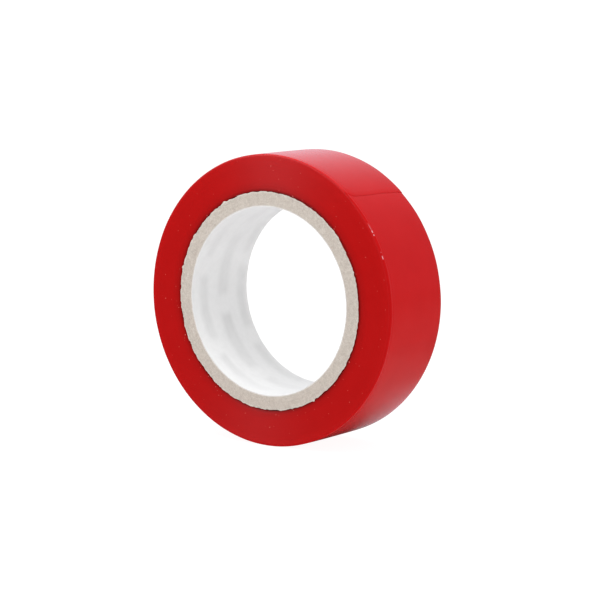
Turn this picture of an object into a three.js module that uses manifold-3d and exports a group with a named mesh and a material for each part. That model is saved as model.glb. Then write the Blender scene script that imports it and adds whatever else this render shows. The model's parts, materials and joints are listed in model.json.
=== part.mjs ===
// Electrical tape roll standing on its tread, in millimetres with +Z up.
// The roll's axis is Y and the origin is the middle of the roll. Seen from -Y, where +X is to the
// right, the outermost lap comes over the top and ends high on the right. The last quarter of that
// lap is a chain of short links, so that the loose end can be picked up and peeled off the roll.
import * as THREE from "three";
import { mergeVertices } from "three/addons/utils/BufferGeometryUtils.js";
import Module from "manifold-3d";

// Tape
const ROLL_DIAMETER = 60;
const TAPE_WIDTH = 19;
const TAPE_THICKNESS = 0.13;

// Core: a white paper liner inside spirally wound plies of grey board
const CORE_DIAMETER = 45.4;
const BORE_DIAMETER = 39.1;
const LINER_THICKNESS = 0.2;
const BOARD_PLIES = 4;
const GLUE_LINE = 0.06;
const CORE_CREVICE = 0.12; // between the core and the first turn of tape
const SEAM_WIDTH = 0.5; // butt gap between the edges of one ply
const SEAM_TWIST = 75; // degrees that a ply's seam winds round over the tape's width
const SEAM_STEPS = 15;
const SEAM_OVERCUT = 0.02; // how far a seam's cutter reaches past the ply's two faces
const LINER_SEAM_AT = 300; // degrees above +X, on the -Y end
const PLY_SEAM_SPACING = 97; // degrees from one ply's seam to the next one's

// Flats: round outlines are polygons with this many sides, and one flat is level at the bottom
const FLATS = 72;
const FLAT_ANGLE = 360 / FLATS;
const FLAT_MIDDLE_TO_CORNER = 1 / Math.cos(THREE.MathUtils.degToRad(FLAT_ANGLE / 2));

// Loose end
const FREE_END_AT = 47.5; // degrees above +X
const LINKS = 9;
const FLATS_PER_LINK = 2;
const LOOSE_FLATS = LINKS * FLATS_PER_LINK;
const ADHESIVE_GAP = 0.03; // under the loose end
const LINK_CLEARANCE = 0.004; // at each end of a link, as a share of a flat
const TAPE_START_FLAT = 30; // where the first turn begins on the core, in flats from the free end

const RED_TAPE = { color: 0xb41514, roughness: 0.3, metalness: 0 };
const GREY_BOARD = { color: 0xcdc3bb, roughness: 0.9, metalness: 0 };
const WHITE_PAPER = { color: 0xe6e5e6, roughness: 0.6, metalness: 0 };

const wasm = await Module();
wasm.setup();

// The corner of a round outline at a whole number of flats past the free end, in the XZ plane.
function corner(flat, radius) {
  const angle = THREE.MathUtils.degToRad(FREE_END_AT + flat * FLAT_ANGLE);
  const reach = radius * FLAT_MIDDLE_TO_CORNER;
  return new THREE.Vector2(reach * Math.cos(angle), reach * Math.sin(angle));
}

// Outside of the outermost lap, which sinks by one tape thickness in a whole turn.
function lapRadius(flat) {
  return ROLL_DIAMETER / 2 - (TAPE_THICKNESS * flat) / FLATS;
}

// A point on the outermost lap at any number of flats past the free end, some depth below its outside.
function lapPoint(flat, depth) {
  const before = Math.floor(flat);
  const from = corner(before, lapRadius(before) - depth);
  const to = corner(before + 1, lapRadius(before + 1) - depth);
  return from.lerp(to, flat - before);
}

// Extrudes an outline in the XZ plane over a width that is centred on the origin.
function acrossWidth(shape, width, steps = 1) {
  const geometry = new THREE.ExtrudeGeometry(shape, { depth: width, steps, bevelEnabled: false });
  geometry.rotateX(Math.PI / 2);
  geometry.translate(0, width / 2, 0);
  return geometry;
}

function roundOutline(radius) {
  return Array.from({ length: FLATS }, (_, flat) => corner(flat, radius));
}

function ring(innerRadius, outerRadius) {
  const shape = new THREE.Shape(roundOutline(outerRadius));
  shape.holes.push(new THREE.Path(roundOutline(innerRadius)));
  return acrossWidth(shape, TAPE_WIDTH);
}

function toSolid(geometry) {
  const bare = geometry.clone();
  bare.deleteAttribute("normal");
  bare.deleteAttribute("uv");
  const merged = mergeVertices(bare, 1e-4);
  const vertProperties = new Float32Array(merged.attributes.position.array);
  const triVerts = new Uint32Array(merged.index.array);
  return new wasm.Manifold(new wasm.Mesh({ numProp: 3, vertProperties, triVerts }));
}

function toGeometry(solid) {
  const { vertProperties, triVerts } = solid.getMesh();
  const geometry = new THREE.BufferGeometry();
  geometry.setAttribute("position", new THREE.BufferAttribute(vertProperties, 3));
  geometry.setIndex(new THREE.BufferAttribute(triVerts, 1));
  geometry.computeVertexNormals();
  return geometry;
}

// The gap between the two edges of a ply: a radial slot that winds round the core along its width.
function spiralSlot(innerRadius, outerRadius, startAngle) {
  const low = innerRadius - 1;
  const high = outerRadius * FLAT_MIDDLE_TO_CORNER + 1;
  const half = SEAM_WIDTH / 2;
  const outline = [
    new THREE.Vector2(low, -half),
    new THREE.Vector2(high, -half),
    new THREE.Vector2(high, half),
    new THREE.Vector2(low, half),
  ];
  const length = TAPE_WIDTH + 2 * SEAM_OVERCUT;
  const slot = acrossWidth(new THREE.Shape(outline), length, SEAM_STEPS);
  const points = slot.getAttribute("position");
  const point = new THREE.Vector3();
  const rollAxis = new THREE.Vector3(0, -1, 0);
  for (let i = 0; i < points.count; i += 1) {
    point.fromBufferAttribute(points, i);
    const share = point.y / length + 0.5;
    point.applyAxisAngle(rollAxis, THREE.MathUtils.degToRad(startAngle + SEAM_TWIST * share));
    points.setXYZ(i, point.x, point.y, point.z);
  }
  return slot;
}

function ply(innerRadius, outerRadius, seamAngle) {
  const tube = toSolid(ring(innerRadius, outerRadius));
  return toGeometry(tube.subtract(toSolid(spiralSlot(innerRadius, outerRadius, seamAngle))));
}

// All the turns that stay on the roll, with a low seat where the loose end lies.
function woundTurns() {
  const seatDepth = TAPE_THICKNESS + ADHESIVE_GAP;
  const outline = [];
  for (let flat = 0; flat <= LOOSE_FLATS; flat += 1) {
    outline.push(corner(flat, lapRadius(flat) - seatDepth));
  }
  for (let flat = LOOSE_FLATS; flat <= FLATS; flat += 1) {
    outline.push(corner(flat, lapRadius(flat)));
  }
  const firstTurn = [];
  for (let flat = 0; flat <= FLATS; flat += 1) {
    const lift = TAPE_THICKNESS * (1 - flat / FLATS);
    firstTurn.push(corner(TAPE_START_FLAT + flat, CORE_DIAMETER / 2 + CORE_CREVICE + lift));
  }
  const shape = new THREE.Shape(outline);
  shape.holes.push(new THREE.Path(firstTurn));
  return acrossWidth(shape, TAPE_WIDTH);
}

// One link of the loose end, between two distances from the free end in flats.
function looseLink(nearFlat, farFlat) {
  const near = nearFlat + LINK_CLEARANCE;
  const far = farFlat - LINK_CLEARANCE;
  const stops = [near];
  for (let flat = nearFlat + 1; flat < farFlat; flat += 1) {
    stops.push(flat);
  }
  stops.push(far);
  const outside = stops.map((flat) => lapPoint(flat, 0));
  const adhesiveSide = stops.map((flat) => lapPoint(flat, TAPE_THICKNESS)).reverse();
  return acrossWidth(new THREE.Shape([...outside, ...adhesiveSide]), TAPE_WIDTH);
}

function addPiece(group, name, geometry, finish) {
  const mesh = new THREE.Mesh(geometry, new THREE.MeshStandardMaterial(finish));
  mesh.name = name;
  group.add(mesh);
}

function makeCore() {
  const core = new THREE.Group();
  const boardStart = BORE_DIAMETER / 2 + LINER_THICKNESS;
  addPiece(core, "core_liner", ply(BORE_DIAMETER / 2, boardStart, LINER_SEAM_AT), WHITE_PAPER);
  const pitch = (CORE_DIAMETER / 2 - boardStart) / BOARD_PLIES;
  for (let i = 1; i <= BOARD_PLIES; i += 1) {
    const outside = boardStart + i * pitch;
    const seamAt = LINER_SEAM_AT + i * PLY_SEAM_SPACING;
    addPiece(core, `core_ply_${i}`, ply(outside - pitch + GLUE_LINE, outside, seamAt), GREY_BOARD);
  }
  return core;
}

// Link 1 hinges on the wound turns, and the last link holds the cut end of the tape.
function makeTape() {
  const tape = new THREE.Group();
  addPiece(tape, "wound_turns", woundTurns(), RED_TAPE);
  for (let i = 1; i <= LINKS; i += 1) {
    const farFlat = LOOSE_FLATS - (i - 1) * FLATS_PER_LINK;
    addPiece(tape, `loose_end_${i}`, looseLink(farFlat - FLATS_PER_LINK, farFlat), RED_TAPE);
  }
  return tape;
}

const roll = new THREE.Group();
roll.add(makeCore(), makeTape());

export default roll;
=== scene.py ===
import json
import math

import bmesh
import bpy
import numpy as np
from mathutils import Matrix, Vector


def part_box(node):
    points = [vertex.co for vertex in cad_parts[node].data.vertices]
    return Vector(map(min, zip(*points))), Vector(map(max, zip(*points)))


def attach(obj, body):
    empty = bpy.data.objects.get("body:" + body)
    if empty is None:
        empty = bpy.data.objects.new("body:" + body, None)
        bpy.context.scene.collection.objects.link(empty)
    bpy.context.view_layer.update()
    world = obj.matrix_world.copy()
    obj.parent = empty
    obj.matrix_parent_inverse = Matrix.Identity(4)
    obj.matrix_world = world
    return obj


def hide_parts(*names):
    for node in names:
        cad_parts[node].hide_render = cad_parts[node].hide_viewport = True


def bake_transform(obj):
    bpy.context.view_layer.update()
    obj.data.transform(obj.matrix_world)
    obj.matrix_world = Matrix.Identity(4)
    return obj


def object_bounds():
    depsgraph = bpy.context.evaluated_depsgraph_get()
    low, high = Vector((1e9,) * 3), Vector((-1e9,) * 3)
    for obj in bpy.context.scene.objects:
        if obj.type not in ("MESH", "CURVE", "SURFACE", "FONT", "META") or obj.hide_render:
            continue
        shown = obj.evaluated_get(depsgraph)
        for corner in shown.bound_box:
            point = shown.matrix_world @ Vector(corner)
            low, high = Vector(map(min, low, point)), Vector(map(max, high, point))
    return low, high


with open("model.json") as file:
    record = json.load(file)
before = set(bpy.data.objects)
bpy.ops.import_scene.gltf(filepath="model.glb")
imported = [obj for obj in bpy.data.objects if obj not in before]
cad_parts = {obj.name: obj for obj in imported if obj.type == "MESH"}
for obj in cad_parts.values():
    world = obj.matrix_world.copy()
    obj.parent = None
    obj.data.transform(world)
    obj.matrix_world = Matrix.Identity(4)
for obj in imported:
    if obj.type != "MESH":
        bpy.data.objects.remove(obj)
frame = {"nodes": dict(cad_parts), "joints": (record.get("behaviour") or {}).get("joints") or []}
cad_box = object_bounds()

MM = 0.001
TAU = 2 * math.pi
WHITE = (1, 1, 1, 1)

# ---------------------------------------------------------------- sizes, from the frame

CAD_FLAT = math.radians(5)  # the CAD's round outlines are polygons with sides this wide
BORE_TRIM = 0.2  # the visible bore's radius is this much smaller than the CAD's, as the photo shows
CORE_TRIM = 0.4  # the same for the outside of the core


def radii_of(node):
    """Inner and outer radius of a CAD node, from the axis to its flats."""
    points = np.array([v.co for v in frame["nodes"][node].data.vertices]) / MM
    reach = np.hypot(points[:, 0], points[:, 2]) * math.cos(CAD_FLAT / 2)
    return reach.min(), reach.max()


def core_radii_of(node):
    """The same for a piece of the core, with its share of the two trims taken off."""
    cad_ends = radii_of("core_liner")[0], radii_of(PLIES[-1])[1]
    return tuple(r - np.interp(r, cad_ends, (BORE_TRIM, CORE_TRIM)) for r in radii_of(node))


LINKS = sorted(name for name in frame["nodes"] if name.startswith("loose_end_"))
PLIES = sorted(name for name in frame["nodes"] if name.startswith("core_ply_"))
HINGES = {
    joint["child"]: math.atan2(joint["pos_m"][2], joint["pos_m"][0]) for joint in frame["joints"]
}
LINK_ANGLE = HINGES[LINKS[0]] - HINGES[LINKS[1]]
FREE_END = HINGES[LINKS[-1]] - LINK_ANGLE

ROLL_RADIUS = radii_of(LINKS[-1])[1]
HALF_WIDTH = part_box("wound_turns")[1].y / MM
CORE_RADIUS = core_radii_of(PLIES[-1])[1]
BORE_RADIUS, LINER_RADIUS = core_radii_of("core_liner")  # the liner's inside and outside
FLOOR_LEVEL = cad_box[0].z

TAPE_THICKNESS = 0.13
TURNS = round((ROLL_RADIUS - CORE_RADIUS) / TAPE_THICKNESS)
EDGE_ROUNDING = 0.5  # the outer edges of the wound tape are soft
HAIR = 0.005  # between the loose end and the turn under it
CREVICE = 0.14  # between the core and the first turn, at the side faces
CREVICE_DEPTH = 0.6  # how far in it starts to narrow
TIGHT = 0.05  # the same gap further in
CORE_PROUD = 0.05  # how far the core stands out of the tape's side faces


# ---------------------------------------------------------------- smooth random shapes

def eased(share):
    return share * share * (3 - 2 * share)


def noise_around(around, seed, cells):
    """Smooth random values from -1 to 1 that close on themselves after a turn."""
    table = np.random.RandomState(seed).uniform(-1, 1, cells)
    place = np.mod(np.asarray(around, float) / TAU, 1) * cells
    cell = np.floor(place).astype(int) % cells
    share = eased(place - np.floor(place))
    return table[cell] * (1 - share) + table[(cell + 1) % cells] * share


def noise_over(u, v, seed, cell_size):
    """Smooth random values from -1 to 1 over a plane, with cells of that size."""
    side = 512
    table = np.random.RandomState(seed).uniform(-1, 1, (side, side))
    a, b = np.broadcast_arrays(np.asarray(u, float) / cell_size, np.asarray(v, float) / cell_size)
    i, j = np.floor(a).astype(int), np.floor(b).astype(int)
    s, t = eased(a - i), eased(b - j)

    def between(row):
        return table[i % side, row % side] * (1 - s) + table[(i + 1) % side, row % side] * s

    return between(j) * (1 - t) + between(j + 1) * t


def bump_at(around, centre, width):
    """A smooth hump of height 1 at an angle, with a width given in radians."""
    away = np.mod(around - centre + math.pi, TAU) - math.pi
    return np.exp(-((away / width) ** 2))


# ---------------------------------------------------------------- meshes

def in_space(radius, around, across):
    """Points in mm from a radius, an angle and a place across the roll."""
    radius, around, across = np.broadcast_arrays(radius, around, across)
    return np.stack([radius * np.cos(around), across, radius * np.sin(around)], axis=-1)


SHARP_ANGLE = math.radians(40)  # edges that turn more than this stay sharp


def add_object(name, data):
    made = bpy.data.objects.new(name, data)
    bpy.context.scene.collection.objects.link(made)
    return made


def make_object(name, points, faces, bands, materials):
    """A smooth-shaded mesh object from points in mm. bands gives each face its material's number."""
    mesh = bpy.data.meshes.new(name)
    mesh.from_pydata((points.reshape(-1, 3) * MM).tolist(), [], np.asarray(faces).tolist())
    for material in materials:
        mesh.materials.append(material)
    mesh.polygons.foreach_set("material_index", np.asarray(bands, np.int32))
    work = bmesh.new()
    work.from_mesh(mesh)
    bmesh.ops.recalc_face_normals(work, faces=work.faces)
    work.to_mesh(mesh)
    work.free()
    mesh.shade_smooth()
    mesh.set_sharp_from_angle(angle=SHARP_ANGLE)
    return add_object(name, mesh)


def closed_ring(name, grid, column_bands, materials):
    """A torus-like mesh from a grid of points, [around, round the section]."""
    rows, columns = grid.shape[:2]
    index = np.arange(rows * columns).reshape(rows, columns)
    beside = np.roll(index, -1, axis=1)
    after = np.roll(index, -1, axis=0)
    corner = np.roll(beside, -1, axis=0)
    faces = np.stack([index, beside, corner, after], axis=-1).reshape(-1, 4)
    return make_object(name, grid, faces, np.tile(column_bands, rows), materials)


def closed_strip(name, top, bottom, materials):
    """A thin closed slab between two grids of points of the same shape, with a material each for
    its top, its bottom and its cut edges."""
    rows, columns = top.shape[:2]
    upper = np.arange(rows * columns).reshape(rows, columns)
    lower = upper + rows * columns

    def quads(a, b, c, d):
        return np.stack([a, b, c, d], axis=-1).reshape(-1, 4)

    groups = [
        (quads(upper[:-1, :-1], upper[:-1, 1:], upper[1:, 1:], upper[1:, :-1]), 0),
        (quads(lower[:-1, :-1], lower[1:, :-1], lower[1:, 1:], lower[:-1, 1:]), 1),
        (quads(upper[:-1, 0], upper[1:, 0], lower[1:, 0], lower[:-1, 0]), 2),
        (quads(upper[:-1, -1], lower[:-1, -1], lower[1:, -1], upper[1:, -1]), 2),
        (quads(upper[0, :-1], lower[0, :-1], lower[0, 1:], upper[0, 1:]), 2),
        (quads(upper[-1, :-1], upper[-1, 1:], lower[-1, 1:], lower[-1, :-1]), 2),
    ]
    faces = np.concatenate([g for g, _ in groups])
    bands = np.concatenate([np.full(len(g), band) for g, band in groups])
    points = np.concatenate([top.reshape(-1, 3), bottom.reshape(-1, 3)])
    return make_object(name, points, faces, bands, materials)


def place(piece, body, nodes, slot):
    """The piece moves with a CAD body and stands for CAD nodes."""
    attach(piece, body)
    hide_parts(*nodes)


# ---------------------------------------------------------------- materials

class Graph:
    """The nodes of a material or of the world, made and joined by short calls, in millimetres."""

    def __init__(self, owner, output="ShaderNodeOutputMaterial"):
        self.owner = owner
        owner.use_nodes = True
        self.tree = owner.node_tree
        self.tree.nodes.clear()
        self.output = self.add(output)

    def add(self, kind, inputs=None, **settings):
        """A node with its settings. inputs maps a socket's name or number to a value or a socket."""
        node = self.tree.nodes.new(kind)
        for key, value in settings.items():
            setattr(node, key, value)
        for key, value in (inputs or {}).items():
            if isinstance(value, bpy.types.NodeSocket):
                self.tree.links.new(value, node.inputs[key])
            else:
                node.inputs[key].default_value = value
        return node

    def math(self, operation, a, b=0.0, c=0.0):
        return self.add("ShaderNodeMath", {0: a, 1: b, 2: c}, operation=operation).outputs[0]

    def place(self):
        """Where the shaded point is on the object, in mm."""
        spot = self.add("ShaderNodeTexCoord").outputs["Object"]
        scaled = self.add("ShaderNodeVectorMath", {0: spot, "Scale": 1 / MM}, operation="SCALE")
        return scaled.outputs[0]

    def roll_place(self, spot):
        """The same place as an angle around, a place across and a radius."""
        parts = self.add("ShaderNodeSeparateXYZ", {0: spot}).outputs
        around = self.math("ARCTAN2", parts[2], parts[0])
        along_x, along_z = self.math("POWER", parts[0], 2.0), self.math("POWER", parts[2], 2.0)
        return around, parts[1], self.math("SQRT", self.math("ADD", along_x, along_z))

    def vector(self, x=0.0, y=0.0, z=0.0):
        return self.add("ShaderNodeCombineXYZ", {0: x, 1: y, 2: z}).outputs[0]

    def noise(self, vector, scale, detail=2.0, roughness=0.5, distortion=0.0):
        inputs = {"Vector": vector, "Scale": scale, "Detail": detail}
        inputs |= {"Roughness": roughness, "Distortion": distortion}
        return self.add("ShaderNodeTexNoise", inputs).outputs["Fac"]

    def ramp(self, value, low, high, to_low=0.0, to_high=1.0):
        inputs = {"Value": value, "From Min": low, "From Max": high}
        inputs |= {"To Min": to_low, "To Max": to_high}
        return self.add("ShaderNodeMapRange", inputs).outputs[0]

    def between(self, share, a, b):
        """A value part of the way from a to b."""
        part_of_a = self.math("MULTIPLY", self.math("SUBTRACT", 1.0, share), a)
        return self.math("ADD", part_of_a, self.math("MULTIPLY", share, b))

    def largest(self, values):
        most = values[0]
        for value in values[1:]:
            most = self.math("MAXIMUM", most, value)
        return most

    def mix(self, share, a, b):
        """A colour part of the way from a to b."""
        node = self.add("ShaderNodeMix", data_type="RGBA")
        for socket, value in (("Factor_Float", share), ("A_Color", a), ("B_Color", b)):
            found = next(s for s in node.inputs if s.identifier == socket)
            if isinstance(value, bpy.types.NodeSocket):
                self.tree.links.new(value, found)
            else:
                found.default_value = value
        return next(s for s in node.outputs if s.identifier == "Result_Color")

    def bump(self, height, depth, strength=1.0, normal=None):
        """A surface raised by height times a depth in mm."""
        inputs = {"Height": height, "Distance": depth * MM, "Strength": strength}
        if normal is not None:
            inputs["Normal"] = normal
        return self.add("ShaderNodeBump", inputs).outputs[0]

    def finish(self, **inputs):
        """The principled shader, with its sockets' names written with underscores."""
        named = {key.replace("_", " "): value for key, value in inputs.items()}
        return self.show(self.add("ShaderNodeBsdfPrincipled", named).outputs[0])

    def show(self, shader):
        self.tree.links.new(shader, self.output.inputs["Surface"])
        return self.owner


def srgb(red, green, blue):
    """A linear colour from sRGB values of 0 to 255."""
    def linear(value):
        share = value / 255
        return share / 12.92 if share <= 0.04045 else ((share + 0.055) / 1.055) ** 2.4

    return (linear(red), linear(green), linear(blue), 1.0)


# Painted glints: short whitish highlights painted on the front edge, standing in for light caught by
# its nicks: middle and half length in degrees, and strength
PAINTED_GLINTS = ((31.9, 0.7, 1.0), (33.7, 2.2, 0.25), (30.4, 0.4, 0.8), (23.3, 0.35, 0.2), (21.2, 0.9, 0.8))
PAINTED_GLINT_OFFSET = 0.2  # how far they lie towards the tread from the middle of the rounded edge, in mm


def with_painted_glints(g, colour, around, across, radius):
    """The colour with short painted glints, whitish highlights painted along the rounded front edge.
    """
    inward = g.math("SUBTRACT", ROLL_RADIUS - TAPE_THICKNESS, radius)
    from_middle = g.math("SUBTRACT", inward, g.math("ADD", across, HALF_WIDTH))
    beside = g.math("ABSOLUTE", g.math("ADD", from_middle, PAINTED_GLINT_OFFSET))
    on_line = g.ramp(beside, 0.05, 0.18, 1.0, 0.0)
    spots = []
    for degrees, half_length, strength in PAINTED_GLINTS:
        away = g.math("ABSOLUTE", g.math("SUBTRACT", around, math.radians(degrees)))
        end = math.radians(half_length)
        spots.append(g.ramp(away, 0.3 * end, end, strength, 0.0))
    return g.mix(g.math("MULTIPLY", g.largest(spots), on_line), colour, srgb(255, 200, 210))


def vinyl_back():
    """The glossy outside of the tape: a calendered film with a fine grain and long faint streaks."""
    g = Graph(bpy.data.materials.new("vinyl_back"))
    spot = g.place()
    around, across, radius = g.roll_place(spot)
    length = g.math("MULTIPLY", around, ROLL_RADIUS)
    streaks = g.noise(g.vector(g.math("MULTIPLY", length, 0.06), across), 1.7, 4.0)
    cloud = g.noise(spot, 0.11, 2.0)
    grain = g.noise(spot, 5.0, 2.0)
    colour = g.mix(g.ramp(cloud, 0.3, 0.7), srgb(208, 12, 15), srgb(213, 15, 18))
    # Painted glints: short whitish highlights painted on the front edge.
    colour = with_painted_glints(g, colour, around, across, radius)
    normal = g.bump(grain, 0.004, 0.5)
    normal = g.bump(streaks, 0.01, 0.5, normal)
    roughness = g.ramp(streaks, 0.3, 0.7, 0.2, 0.27)
    from_face = g.math("SUBTRACT", HALF_WIDTH, g.math("ABSOLUTE", across))
    roughness = g.math("ADD", roughness, g.ramp(from_face, 0.3, 1.0, 0.12, 0.0))
    return g.finish(Base_Color=colour, Roughness=roughness, IOR=1.4, Normal=normal)


def vinyl_side():
    """The side of the wound tape: the cut edges of all its turns, one line for each."""
    g = Graph(bpy.data.materials.new("vinyl_side"))
    spot = g.place()
    around, across, radius = g.roll_place(spot)
    from_tread = g.math("SUBTRACT", ROLL_RADIUS, radius)
    laps = g.math("DIVIDE", from_tread, TAPE_THICKNESS)
    turn = g.math("SUBTRACT", laps, g.math("DIVIDE", around, TAU))
    line = g.math("PINGPONG", turn, 0.5)
    groove = g.ramp(line, 0.0, 0.14)
    each_turn = g.noise(g.vector(g.math("FLOOR", turn)), 0.93, 0.0)
    cloud = g.noise(spot, 0.16, 2.0)
    grain = g.noise(spot, 7.0, 2.0)
    shade = g.math("ADD", g.math("MULTIPLY", each_turn, 0.5), g.math("MULTIPLY", cloud, 0.5))
    colour = g.mix(g.ramp(shade, 0.3, 0.7), srgb(177, 7, 7), srgb(183, 9, 9))
    colour = g.mix(g.ramp(groove, 0.0, 1.0, 0.2, 0.0), colour, srgb(120, 6, 6))
    # Painted shade: the side face is painted darker towards the core, where the crevice shades it.
    from_core = g.math("SUBTRACT", radius, CORE_RADIUS)
    colour = g.mix(g.ramp(from_core, 0.0, 2.2, 0.4, 0.0), colour, srgb(128, 6, 6))
    colour = g.mix(g.ramp(from_core, 0.1, 0.8, 0.6, 0.0), colour, srgb(98, 4, 4))
    speck = g.math("ADD", g.noise(spot, 2.6, 0.0), g.ramp(from_core, 0.2, 2.0, 0.03, 0.0))
    colour = g.mix(g.ramp(speck, 0.845, 0.87, 0.0, 0.5), colour, srgb(235, 130, 120))
    colour = g.mix(g.ramp(from_tread, 0.6, 2.4, 0.5, 0.0), colour, srgb(186, 10, 11))
    normal = g.bump(groove, 0.006, 0.5)
    normal = g.bump(grain, 0.004, 0.4, normal)
    tangent = g.add("ShaderNodeTangent", direction_type="RADIAL", axis="Y").outputs[0]
    return g.finish(
        Base_Color=colour,
        Roughness=0.45,
        IOR=1.4,
        Specular_IOR_Level=0.1,
        Anisotropic=0.72,
        Anisotropic_Rotation=0.25,
        Tangent=tangent,
        Normal=normal,
    )


def vinyl_rim():
    """The rounded outer edge of the roll. Its colour runs from the side face's to the tread's. It is
    duller than the tread, and carries painted glints, whitish highlights painted on the front edge."""
    g = Graph(bpy.data.materials.new("vinyl_rim"))
    spot = g.place()
    around, across, radius = g.roll_place(spot)
    from_face = g.math("SUBTRACT", HALF_WIDTH, g.math("ABSOLUTE", across))
    cloud = g.noise(spot, 0.5, 3.0)
    near_tread = g.mix(g.ramp(cloud, 0.3, 0.7), srgb(203, 13, 15), srgb(208, 15, 18))
    near_face = g.mix(g.ramp(cloud, 0.3, 0.7), srgb(180, 9, 10), srgb(186, 11, 12))
    colour = g.mix(g.ramp(from_face, 0.0, EDGE_ROUNDING), near_face, near_tread)
    # Painted glints: short whitish highlights painted on the front edge.
    colour = with_painted_glints(g, colour, around, across, radius)
    normal = g.bump(g.noise(spot, 4.0, 3.0), 0.006, 0.5)
    return g.finish(
        Base_Color=colour, Roughness=0.6, IOR=1.4, Specular_IOR_Level=0.1, Normal=normal
    )


def vinyl_adhesive():
    """The sticky underside of the tape: duller, a little darker, with soft blotches."""
    g = Graph(bpy.data.materials.new("vinyl_adhesive"))
    spot = g.place()
    blotches = g.noise(spot, 0.8, 3.0)
    colour = g.mix(g.ramp(blotches, 0.35, 0.65), srgb(172, 20, 20), srgb(184, 26, 25))
    normal = g.bump(g.noise(spot, 3.0, 3.0), 0.01, 0.6)
    roughness = g.ramp(blotches, 0.35, 0.65, 0.38, 0.52)
    return g.finish(Base_Color=colour, Roughness=roughness, IOR=1.45, Normal=normal)


def fibres(g, spot, turn, scale, seed):
    """Short thin fibres that lie about one direction in the XZ plane, as a value from 0 to 1."""
    turned = g.add("ShaderNodeMapping", {0: spot, "Rotation": (0, turn, 0), "Location": (seed,) * 3})
    inputs = {0: turned.outputs[0], 1: (0.22, 1.0, 2.4)}
    stretched = g.add("ShaderNodeVectorMath", inputs, operation="MULTIPLY").outputs[0]
    return g.ramp(g.noise(stretched, scale, 1.5, 0.5, 0.6), 0.60, 0.74)


def grey_board():
    """The cut edge of recycled board: even grey-beige pulp with a fine grain and some fibres."""
    g = Graph(bpy.data.materials.new("grey_board"))
    spot = g.place()
    pulp = g.noise(spot, 1.5, 4.0, 0.6)
    fine = g.noise(spot, 4.5, 4.0, 0.65)
    colour = g.mix(g.ramp(pulp, 0.34, 0.66), srgb(189, 179, 169), srgb(207, 198, 188))
    colour = g.mix(g.ramp(fine, 0.36, 0.62, 0.45, 0.0), colour, srgb(172, 160, 148))
    colour = g.mix(g.ramp(fine, 0.5, 0.72, 0.0, 0.4), colour, srgb(232, 225, 217))
    height = g.math("ADD", g.math("MULTIPLY", pulp, 0.4), g.math("MULTIPLY", fine, 0.6))
    for number, turn in enumerate((0.3, 1.25, 2.3)):
        strands = fibres(g, spot, turn, 2.4, 7.3 * number)
        colour = g.mix(g.math("MULTIPLY", strands, 0.25), colour, srgb(234, 228, 220))
        height = g.math("ADD", height, g.math("MULTIPLY", strands, 0.2))
    _, across, radius = g.roll_place(spot)
    frayed = g.ramp(g.math("SUBTRACT", CORE_RADIUS, radius), 0.0, 0.3, 0.4, 0.0)
    colour = g.mix(frayed, colour, srgb(226, 219, 210))
    dots = g.noise(spot, 2.6, 0.0)
    colour = g.mix(g.ramp(dots, 0.80, 0.84, 0.0, 0.35), colour, srgb(140, 128, 122))
    # Painted shade with a painted red reflection of the tape: the board's wall beside the crevice is
    # coloured dark red.
    inside = g.math("SUBTRACT", HALF_WIDTH, g.math("ABSOLUTE", across))
    colour = g.mix(g.ramp(inside, 0.0, 0.08), colour, srgb(168, 26, 20))
    normal = g.bump(height, 0.05, 0.7)
    return g.finish(
        Base_Color=colour, Roughness=0.95, IOR=1.4, Specular_IOR_Level=0.25, Normal=normal
    )


# Rows of grey bars printed on the liner: place across the roll and width in mm, and the middle of
# one bar in degrees
LINER_ROWS = ((-5.5, 2.6, 189.5), (1.1, 3.5, 163.5), (7.35, 2.5, 187.5))
BARS_PER_ROW = 7
BAR_LENGTH = 13.5
SOFT_SIDE, SOFT_END = 0.7, 0.8  # half widths of a bar's blurred edges
PRINT_STRONGEST_AT = 200  # degrees, and again half a turn on


def liner_paper():
    """Smooth white paper, printed with plain soft grey bars in three rows round the bore."""
    g = Graph(bpy.data.materials.new("liner_paper"))
    spot = g.place()
    around, across, _ = g.roll_place(spot)
    drift = g.ramp(g.noise(spot, 0.25, 1.0), 0.3, 0.7, -0.4, 0.4)
    length = g.math("ADD", g.math("MULTIPLY", around, BORE_RADIUS), drift)
    across = g.math("ADD", across, g.math("MULTIPLY", drift, 0.4))
    half_pitch = math.pi * BORE_RADIUS / BARS_PER_ROW
    bars = []
    for row, width, middle in LINER_ROWS:
        from_row = g.math("ABSOLUTE", g.math("SUBTRACT", across, row))
        in_row = g.ramp(from_row, width / 2 - SOFT_SIDE, width / 2 + SOFT_SIDE, 1.0, 0.0)
        from_middle = g.math("SUBTRACT", length, math.radians(middle) * BORE_RADIUS)
        away = g.math("PINGPONG", from_middle, half_pitch)
        in_bar = g.ramp(away, BAR_LENGTH / 2 - SOFT_END, BAR_LENGTH / 2 + SOFT_END, 1.0, 0.0)
        bars.append(g.math("MULTIPLY", in_row, in_bar))
    from_strongest = g.math("SUBTRACT", around, math.radians(PRINT_STRONGEST_AT))
    wave = g.math("COSINE", g.math("MULTIPLY", from_strongest, 2.0))
    strength = g.math("MULTIPLY", g.largest(bars), g.ramp(wave, -1.0, 1.0, 0.15, 0.7))
    strength = g.math("MULTIPLY", strength, g.ramp(g.noise(spot, 0.3, 2.0), 0.3, 0.7, 0.7, 1.2))
    paper = g.mix(g.ramp(g.noise(spot, 0.9, 3.0), 0.3, 0.7), srgb(239, 239, 239), srgb(243, 243, 243))
    colour = g.mix(strength, paper, srgb(223, 223, 223))
    normal = g.bump(g.noise(spot, 2.5, 4.0), 0.01, 0.3)
    return g.finish(Base_Color=colour, Roughness=0.55, Specular_IOR_Level=0.2, Normal=normal)


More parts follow.
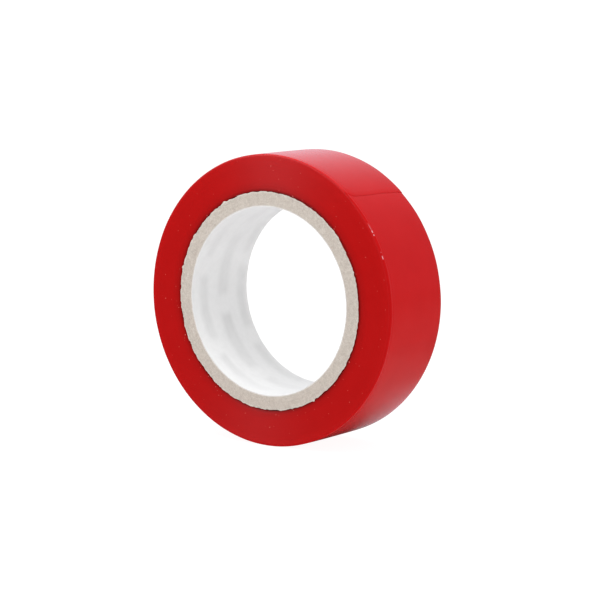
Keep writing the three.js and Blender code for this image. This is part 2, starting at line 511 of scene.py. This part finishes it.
def liner_edge():
    """The cut edge of the white liner paper."""
    g = Graph(bpy.data.materials.new("liner_edge"))
    spot = g.place()
    colour = g.mix(g.noise(spot, 3.0, 3.0), srgb(208, 202, 198), srgb(232, 229, 227))
    normal = g.bump(g.noise(spot, 6.0, 3.0), 0.03, 0.6)
    return g.finish(Base_Color=colour, Roughness=0.85, IOR=1.4, Normal=normal)


# ---------------------------------------------------------------- the tape

TREAD_COLUMNS = 14
EDGE_STEPS = 8
FACE_STEPS = TURNS - 4
RING_STEPS = 600
STRIP_STEPS = 16
SEAT_END = HINGES[LINKS[0]] + LINK_ANGLE / 2
STEP_RAMP = math.radians(0.02)  # how far round the step at the end of the seat takes
ANGLE_SLACK = 1e-9
THINNEST_EDGE = 0.15 * TAPE_THICKNESS  # of the loose end, where its edge rounds off


def lap_radius(around):
    """The outermost lap sinks by one thickness in a turn, counted from the free end."""
    return ROLL_RADIUS - TAPE_THICKNESS * (around - FREE_END) / TAU


def ripple(around, across):
    """The outermost lap isn't quite round or flat."""
    long_waves = 0.012 * np.cos(2 * around + 0.6) + 0.007 * np.sin(5 * around + 2.1)
    short_waves = 0.0025 * np.sin(19 * around + 0.35 * across)
    short_waves = short_waves + 0.002 * np.sin(31 * around - 0.6 * across)
    crown = -0.012 * (across / HALF_WIDTH) ** 2
    droop = -0.07 * np.exp((np.abs(across) - HALF_WIDTH) / 1.2)
    return long_waves + short_waves + crown + droop


# Small burrs, and one dent, in the front edge: angle and width in degrees, height in mm
FRONT_EDGE_MARKS = ((32.5, 1.6, 0.05), (22.5, 1.0, 0.045), (48.8, 0.8, -0.05), (206, 1.5, 0.03))


def edge_radius(around, side):
    """Rounding of an outer edge. side is -1 for the front and 1 for the back."""
    size = EDGE_ROUNDING * (1 + 0.12 * noise_around(around, 11 + side, 40))
    if side < 0:
        for degrees, width, height in FRONT_EDGE_MARKS:
            size = size - height * bump_at(around, math.radians(degrees), math.radians(width))
    return size


def skin_columns(around, first_angle):
    """Places across the tape and their drop below the lap, from the front edge to the back one.
    first_angle is where the rounding starts: 0 is square to the side face, a quarter turn is flat."""
    turns = np.linspace(first_angle, TAU / 4, EDGE_STEPS + 1)[None, :]
    front, back = edge_radius(around, -1)[:, None], edge_radius(around, 1)[:, None]
    front_across = -HALF_WIDTH + front * (1 - np.cos(turns))
    back_across = (HALF_WIDTH - back * (1 - np.cos(turns)))[:, ::-1]
    share = np.linspace(0, 1, TREAD_COLUMNS + 1)[None, 1:-1]
    flat_across = front_across[:, -1:] * (1 - share) + back_across[:, :1] * share
    across = np.hstack([front_across, flat_across, back_across])
    front_drop, back_drop = front * (1 - np.sin(turns)), (back * (1 - np.sin(turns)))[:, ::-1]
    return across, np.hstack([front_drop, np.zeros_like(flat_across), back_drop])


def side_face(radius, around, side, outer_radius):
    """How far the side of the wound tape is from the roll's middle plane."""
    first_turn = CORE_RADIUS + CREVICE
    past_core = radius - first_turn
    dish = 0.1 * np.exp(-past_core / 0.4) + 0.02 * np.exp(-past_core / 2.0)
    bands = 0.006 * noise_over(radius * 3.1, around * 1.3 + 40, 20 + side, 1.0)
    turns = 0.003 * noise_over(radius / TAPE_THICKNESS, around * 2.0 + 40, 30 + side, 1.0)
    wander = 0.015 * noise_around(around, 50 + side, 9)
    fade = np.clip((outer_radius - radius) / 0.6, 0, 1)
    return side * (HALF_WIDTH - dish + (bands + turns + wander) * fade)


def wound_turns(materials):
    """All the turns that stay on the roll, with a seat under the loose end."""
    around = FREE_END + TAU * np.arange(RING_STEPS) / RING_STEPS
    around = np.sort(np.append(around, [SEAT_END, SEAT_END + STEP_RAMP]))
    across, drop = skin_columns(around, 0.0)
    turn = around[:, None]
    flatness = 1 - drop / EDGE_ROUNDING
    radius = lap_radius(turn) - drop + ripple(turn, across) * flatness
    seat = lap_radius(turn) - TAPE_THICKNESS - HAIR + ripple(turn, across) * flatness
    radius = np.where(turn <= SEAT_END + ANGLE_SLACK, np.minimum(radius, seat), radius)
    first_turn = CORE_RADIUS + CREVICE + 0.03 * noise_around(around, 3, 23)[:, None]
    share = np.linspace(0, 1, FACE_STEPS + 1)[None, :-1]

    def face(outer, side):
        face_radius = first_turn + (outer - first_turn) * share
        return in_space(face_radius, turn, side_face(face_radius, turn, side, outer))

    front = face(radius[:, :1], -1)
    back = face(radius[:, -1:], 1)[:, ::-1]
    depth = HALF_WIDTH - np.array([[CREVICE_DEPTH, CREVICE_DEPTH + CREVICE]])
    inner = first_turn + (CORE_RADIUS + TIGHT - first_turn) * np.array([[0.6, 1.0]])
    bore_back, bore_front = in_space(inner, turn, depth), in_space(inner, turn, -depth)[:, ::-1]
    skin = in_space(radius, turn, across)
    grid = np.concatenate([front, skin, back, bore_back, bore_front], axis=1)
    rest = grid.shape[1] - front.shape[1] - 2 * EDGE_STEPS - TREAD_COLUMNS
    widths = [front.shape[1], EDGE_STEPS, TREAD_COLUMNS, EDGE_STEPS, rest]
    bands = np.repeat([1, 2, 0, 2, 1], widths)
    return closed_ring("wound_tape", grid, bands, materials)


# How far the free end's cut is dragged round at the tape's edges, in degrees, and how far in from
# the edge that reaches, in mm
FRONT_PULL, FRONT_PULL_REACH = 4.4, 0.8
BACK_PULL, BACK_PULL_REACH = -0.95, 2.5


def free_end_line(across):
    """The cut across the tape isn't straight: both its ends are dragged round."""
    front = FRONT_PULL * np.exp(-(across + HALF_WIDTH) / FRONT_PULL_REACH)
    back = BACK_PULL * np.exp((across - HALF_WIDTH) / BACK_PULL_REACH)
    return FREE_END + np.radians(0.5 + front + back + 0.1 * np.sin(0.9 * across))


def strip_skin(around, across, drop, lift=0.0):
    """Top and bottom points of the loose end at rest."""
    level = lap_radius(around) + ripple(around, across) + lift
    top = in_space(level - np.minimum(drop, TAPE_THICKNESS - THINNEST_EDGE), around, across)
    bottom = in_space(level - TAPE_THICKNESS - np.minimum(lift, 0), around, across)
    return top, bottom


def strip_piece(name, near, far, materials):
    """A stretch of the loose end between two angles. At the free end, near is a function of across,
    and the tape's top is worn there."""
    share = np.concatenate([[0, 0.02], np.linspace(0, 1, STRIP_STEPS + 1)[1:-1], [0.98, 1]])
    start = math.asin(1 - TAPE_THICKNESS / EDGE_ROUNDING)
    straight = (near(0.0) if callable(near) else near) * (1 - share) + far * share
    across, drop = skin_columns(straight, start)
    lift = 0.0
    if callable(near):
        cut = near(across)
        around = cut * (1 - share[:, None]) + far * share[:, None]
        worn = 0.09 - 0.07 * np.exp((across - HALF_WIDTH) / 1.5)
        lift = -worn * np.exp(-(around - cut) / math.radians(0.8))
    else:
        around = np.broadcast_to(straight[:, None], across.shape)
    top, bottom = strip_skin(around, across, drop, lift)
    return closed_strip(name, top, bottom, materials)


def make_tape():
    back, rim, adhesive = vinyl_back(), vinyl_rim(), vinyl_adhesive()
    place(wound_turns([back, vinyl_side(), rim]), "roll", ["wound_turns"], "vinyl_tape")
    skins = [back, adhesive, rim]
    half = LINK_ANGLE / 2
    bodies = ["roll", *LINKS]
    for number, (parent, child) in enumerate(zip(bodies, bodies[1:]), 1):
        hinge = HINGES[child]
        piece = strip_piece(f"loose_strip_{number}", hinge - half, hinge + half, skins)
        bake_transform(piece)
        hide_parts(child)
    tip = strip_piece("loose_strip_tip", free_end_line, HINGES[LINKS[-1]] - half, skins)
    place(tip, LINKS[-1], [LINKS[-1]], "vinyl_tape")


# ---------------------------------------------------------------- the core

BOARD_STEPS = 1400
FACE_COLUMNS = 7
FACE_SHIFT = 60  # keeps the places on a face above 0
LINER_SEAM_AT, PLY_SEAM_SPACING = 300, 97  # degrees: the liner's seam on the front, then each ply's

# The outer wall of a ply, from its face inwards: depths in mm, and shares of the torn edge there
WALL_DEPTHS = np.array([[0.25, 0.7, 1.5]])
WALL_TEARS = np.array([[0.45, 0.1, 0.0]])

# Torn fibres that stand out of the core's front edge: angle and width in degrees, size in mm
TORN_EDGE = (
    (301, 0.7, 0.32), (166, 1.0, 0.12), (147, 1.0, 0.16), (141, 1.6, -0.1), (137.7, 0.9, 0.14),
    (119.2, 1.2, 0.16), (92, 1.2, 0.12), (85, 2.5, 0.05), (19.5, 0.8, 0.26), (17.4, 0.8, -0.08),
    (13.2, 0.6, 0.14), (295, 5.0, 0.08), (208, 3.0, -0.12), (193, 1.4, -0.08),
)


def torn_edge(around, side):
    """How far the board's outer edge stands out or falls short, in mm."""
    ragged = 0.1 * noise_around(around, 61 + side, 90) + 0.08 * noise_around(around, 63 + side, 200)
    ragged = ragged + 0.05 * noise_around(around, 65 + side, 430)
    if side > 0:
        return ragged + 0.1 * np.maximum(noise_around(around, 67, 30), 0) ** 2
    for degrees, width, size in TORN_EDGE:
        ragged = ragged + size * bump_at(around, math.radians(degrees), math.radians(width))
    return ragged


def cut_face(radius, around, side):
    """How far the core's cut face is from the roll's middle plane: a rough, slightly wavy cut."""
    x, z = radius * np.cos(around) + FACE_SHIFT, radius * np.sin(around) + FACE_SHIFT
    rough = 0.022 * noise_over(x, z, 70 + side, 0.9) + 0.016 * noise_over(x, z, 72 + side, 0.33)
    wave = 0.03 * noise_around(around, 74 + side, 11)
    return HALF_WIDTH + CORE_PROUD + rough + wave


def board_ply(node, number, material):
    """One ply of board: a ring with rough cut faces and a faint groove where its edges meet."""
    outer = core_radii_of(node)[1]
    inner = LINER_RADIUS if number == 0 else core_radii_of(PLIES[number - 1])[1]
    last = number == len(PLIES) - 1
    around = TAU * np.arange(BOARD_STEPS)[:, None] / BOARD_STEPS
    share = np.linspace(0, 1, FACE_COLUMNS)[None, :]
    seam_at = math.radians(LINER_SEAM_AT + PLY_SEAM_SPACING * (number + 1))
    seam = 0.04 * bump_at(around, seam_at, 0.15 / outer)
    worn = 0.03 * (1 - np.clip(np.minimum(share, 1 - share) * 5, 0, 1))
    sides = {}
    for side in (-1, 1):
        lip = torn_edge(around, side) if last else 0.01 * noise_around(around, 80 + number, 90)
        radius = inner + (outer - inner) * share + lip * eased(np.clip(share * 2 - 1, 0, 1))
        height = cut_face(radius, around, side) - worn - seam
        face = in_space(radius, around, side * height)
        wall = in_space(outer + lip * WALL_TEARS, around, side * (HALF_WIDTH - WALL_DEPTHS))
        sides[side] = face, wall
    front, front_wall = sides[-1]
    back, back_wall = sides[1]
    inner_across = np.array([[HALF_WIDTH - 1, 1 - HALF_WIDTH]])
    inner_wall = in_space(np.full((1, 2), inner), around, inner_across)
    parts = [front, front_wall, back_wall[:, ::-1], back[:, ::-1], inner_wall]
    grid = np.concatenate(parts, axis=1)
    return closed_ring(f"board_ply_{number + 1}", grid, np.zeros(grid.shape[1], int), [material])


LINER_STEPS = 480
LINER_COLUMNS = 24
LINER_SEAM_TWIST = 75  # degrees round, from the front edge of the liner to its back edge
LINER_OVERLAP = 4.0
LINER_BELOW_BOARD = 0.02  # how far its cut edge lies below the board's


def liner(materials):
    """The white paper inside the bore. Its edges overlap along a spiral."""
    around = TAU * np.arange(LINER_STEPS)[:, None] / LINER_STEPS
    share = np.linspace(0, 1, LINER_COLUMNS + 1)[None, :]
    seam = np.radians(LINER_SEAM_AT + LINER_SEAM_TWIST * share)
    past_seam = np.mod(around - seam, TAU) * BORE_RADIUS
    doubled = np.where(past_seam < LINER_OVERLAP, 1 - (past_seam / LINER_OVERLAP) ** 3, 0.0)
    edge = 0.03 * noise_around(around, 91, 140)
    front = LINER_BELOW_BOARD - cut_face(BORE_RADIUS, around, -1) + edge
    back = cut_face(BORE_RADIUS, around, 1) - LINER_BELOW_BOARD + edge
    inside_across = front * (1 - share) + back * share
    unevenness = 0.012 * noise_over(around * BORE_RADIUS, inside_across + 40, 93, 2.5)
    inside_radius = BORE_RADIUS - 0.05 * doubled + unevenness * np.sin(math.pi * share)
    inside = in_space(inside_radius, around, inside_across)
    outside = in_space(np.full((1, 4), LINER_RADIUS), around, inside_across[:, [-1, -5, 4, 0]])
    grid = np.concatenate([inside, outside], axis=1)
    bands = np.zeros(grid.shape[1], int)
    bands[LINER_COLUMNS] = 1
    bands[-1] = 1
    return closed_ring("paper_liner", grid, bands, materials)


def make_core():
    board = grey_board()
    for number, node in enumerate(PLIES):
        place(board_ply(node, number, board), "roll", [node], "core_board")
    place(liner([liner_paper(), liner_edge()]), "roll", ["core_liner"], "liner_paper")


# ---------------------------------------------------------------- the stage

CAMERA_AZIMUTH = 35.4  # degrees from the roll's axis, towards +X
CAMERA_ELEVATION = 7.5
CAMERA_DISTANCE = 480 * MM
CAMERA_NEAREST = 10 * MM
CAMERA_LENS = 141.5
CAMERA_AIM = (0.33 * MM, 0.09 * MM)  # right and up of the roll's middle


def direction(azimuth, elevation):
    """A unit vector towards that azimuth, from -Y towards +X, and elevation, in degrees."""
    a, e = math.radians(azimuth), math.radians(elevation)
    return Vector((math.sin(a) * math.cos(e), -math.cos(a) * math.cos(e), math.sin(e)))


def make_camera():
    data = bpy.data.cameras.new("camera")
    data.lens = CAMERA_LENS
    data.clip_start = CAMERA_NEAREST
    camera = add_object("camera", data)
    towards = direction(CAMERA_AZIMUTH, CAMERA_ELEVATION)
    camera.rotation_euler = (-towards).to_track_quat("-Z", "Y").to_euler()
    aim = camera.rotation_euler.to_matrix() @ Vector((*CAMERA_AIM, 0))
    camera.location = aim + towards * CAMERA_DISTANCE
    bpy.context.scene.camera = camera


FLOOR_SIZE = 6.0  # metres from the middle to an edge
GLOSS_TINT = (0.97, 1, 1.13, 1)  # reflections are a little bluer than matt light


def make_floor():
    """A plain white floor. It glows to the camera and a little to matt surfaces. In reflections it
    is darker further off, and it glows behind the roll's foot."""
    g = Graph(bpy.data.materials.new("floor"))
    path = g.add("ShaderNodeLightPath").outputs
    spot = g.place()
    reach = g.add("ShaderNodeVectorMath", {0: spot}, operation="LENGTH").outputs["Value"]
    near, far = g.ramp(reach, 45.0, 75.0, 0.43, 0.21), g.ramp(reach, 120.0, 500.0, 0.0, -0.07)
    grey = g.math("MULTIPLY", path["Is Glossy Ray"], g.math("ADD", near, far))
    grey = g.math("ADD", grey, g.math("MULTIPLY", path["Is Diffuse Ray"], 0.7))
    grey = g.math("ADD", grey, g.math("MULTIPLY", path["Is Camera Ray"], 0.2))
    colour = g.add("ShaderNodeCombineColor", {0: grey, 1: grey, 2: grey}).outputs[0]
    x, y, _ = g.add("ShaderNodeSeparateXYZ", {0: spot}).outputs
    behind = g.math("MULTIPLY", g.ramp(x, 28.0, 12.0, 0.0, 0.8), g.ramp(y, 9.0, 26.0))
    glow = g.math("MULTIPLY", path["Is Glossy Ray"], behind)
    glow = g.math("ADD", glow, g.math("MULTIPLY", path["Is Camera Ray"], 0.94))
    glow = g.math("ADD", glow, g.math("MULTIPLY", path["Is Diffuse Ray"], 0.37))
    g.finish(
        Base_Color=colour,
        Roughness=0.8,
        Specular_IOR_Level=0.0,
        Emission_Color=g.mix(path["Is Glossy Ray"], WHITE, GLOSS_TINT),
        Emission_Strength=glow,
    )
    corners = [(-1, -1), (1, -1), (1, 1), (-1, 1)]
    points = [(x * FLOOR_SIZE, y * FLOOR_SIZE, FLOOR_LEVEL) for x, y in corners]
    mesh = bpy.data.meshes.new("floor")
    mesh.from_pydata(points, [], [(0, 1, 2, 3)])
    mesh.materials.append(g.owner)
    add_object("floor", mesh)


def make_softbox(name, azimuth, elevation, distance, size, power, in_gloss):
    """A soft rectangular light, aimed at the roll, that shows only in gloss or only on matt
    surfaces. Its distance and size are in metres."""
    data = bpy.data.lights.new(name, "AREA")
    data.shape = "RECTANGLE"
    data.size, data.size_y = size
    data.energy = power
    data.color = (0.95, 1, 1.1) if in_gloss else (1, 1, 1)
    light = add_object(name, data)
    light.visible_glossy = in_gloss
    light.visible_diffuse = not in_gloss
    towards = direction(azimuth, elevation)
    light.location = towards * distance
    light.rotation_euler = (-towards).to_track_quat("-Z", "Y").to_euler()


def make_world():
    """An even white studio. It is darker in gloss, most of all behind the roll on the right."""
    world = bpy.data.worlds.new("studio")
    g = Graph(world, "ShaderNodeOutputWorld")
    towards = g.add("ShaderNodeTexCoord").outputs["Generated"]
    x, y, z = g.add("ShaderNodeSeparateXYZ", {0: towards}).outputs
    behind = g.math("SUBTRACT", g.ramp(x, -0.55, 0.0, 0.95, 0.3), g.ramp(x, 0.0, 0.6, 0.0, 0.15))
    front = g.ramp(x, -0.3, 0.8, 0.15, 0.6)
    in_gloss = g.between(g.ramp(y, 0.5, 0.8), front, behind)
    on_matt = g.math("ADD", g.ramp(z, 0.2, 1.0, 0.52, 0.98), g.ramp(x, 0.1, 0.9, 0.0, 0.17))
    path = g.add("ShaderNodeLightPath").outputs
    light = g.between(path["Is Glossy Ray"], on_matt, in_gloss)
    light = g.math("MAXIMUM", light, g.math("MULTIPLY", path["Is Camera Ray"], 1.2))
    colour = g.mix(path["Is Glossy Ray"], WHITE, GLOSS_TINT)
    inputs = {"Color": colour, "Strength": light}
    g.show(g.add("ShaderNodeBackground", inputs).outputs[0])
    world.cycles.sampling_method = "NONE"
    bpy.context.scene.world = world


def make_stage():
    make_camera()
    make_floor()
    make_world()
    make_softbox("overhead", -47, 47, distance=0.7, size=(0.28, 0.2), power=14.0, in_gloss=True)
    make_softbox("fill", -15, 64, distance=0.22, size=(0.16, 0.16), power=0.24, in_gloss=False)
    scene = bpy.context.scene
    scene.view_settings.view_transform = "Standard"
    scene.cycles.use_denoising = True


make_stage()
make_core()
make_tape()
